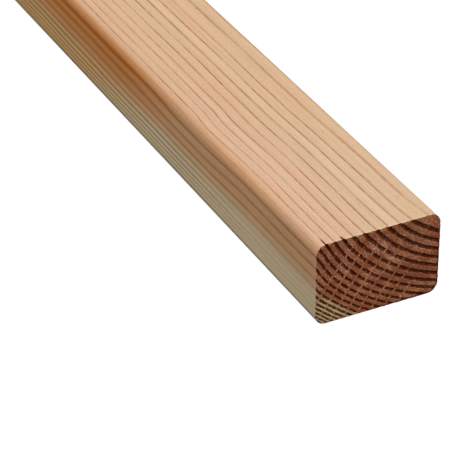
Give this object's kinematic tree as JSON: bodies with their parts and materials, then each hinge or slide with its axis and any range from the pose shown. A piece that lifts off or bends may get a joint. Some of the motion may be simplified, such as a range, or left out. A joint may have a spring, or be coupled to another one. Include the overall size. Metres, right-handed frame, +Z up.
{
  "type": "wooden post",
  "caption": "Straight planed softwood post of rectangular section with rounded long edges and square-sawn ends, for framing, fencing and general building.",
  "frame": {"origin": "on the underside, midway along the post and midway across it", "axes": "+Y along the grain, +X across the wide face, +Z up out of the upper wide face"},
  "size_m": [0.06, 2, 0.04],
  "materials": {
    "planed_softwood": "planed, unfinished, with rough-sawn end grain"
  },
  "bodies": {
    "root": {"post": "planed_softwood"}
  },
  "joints": []
}
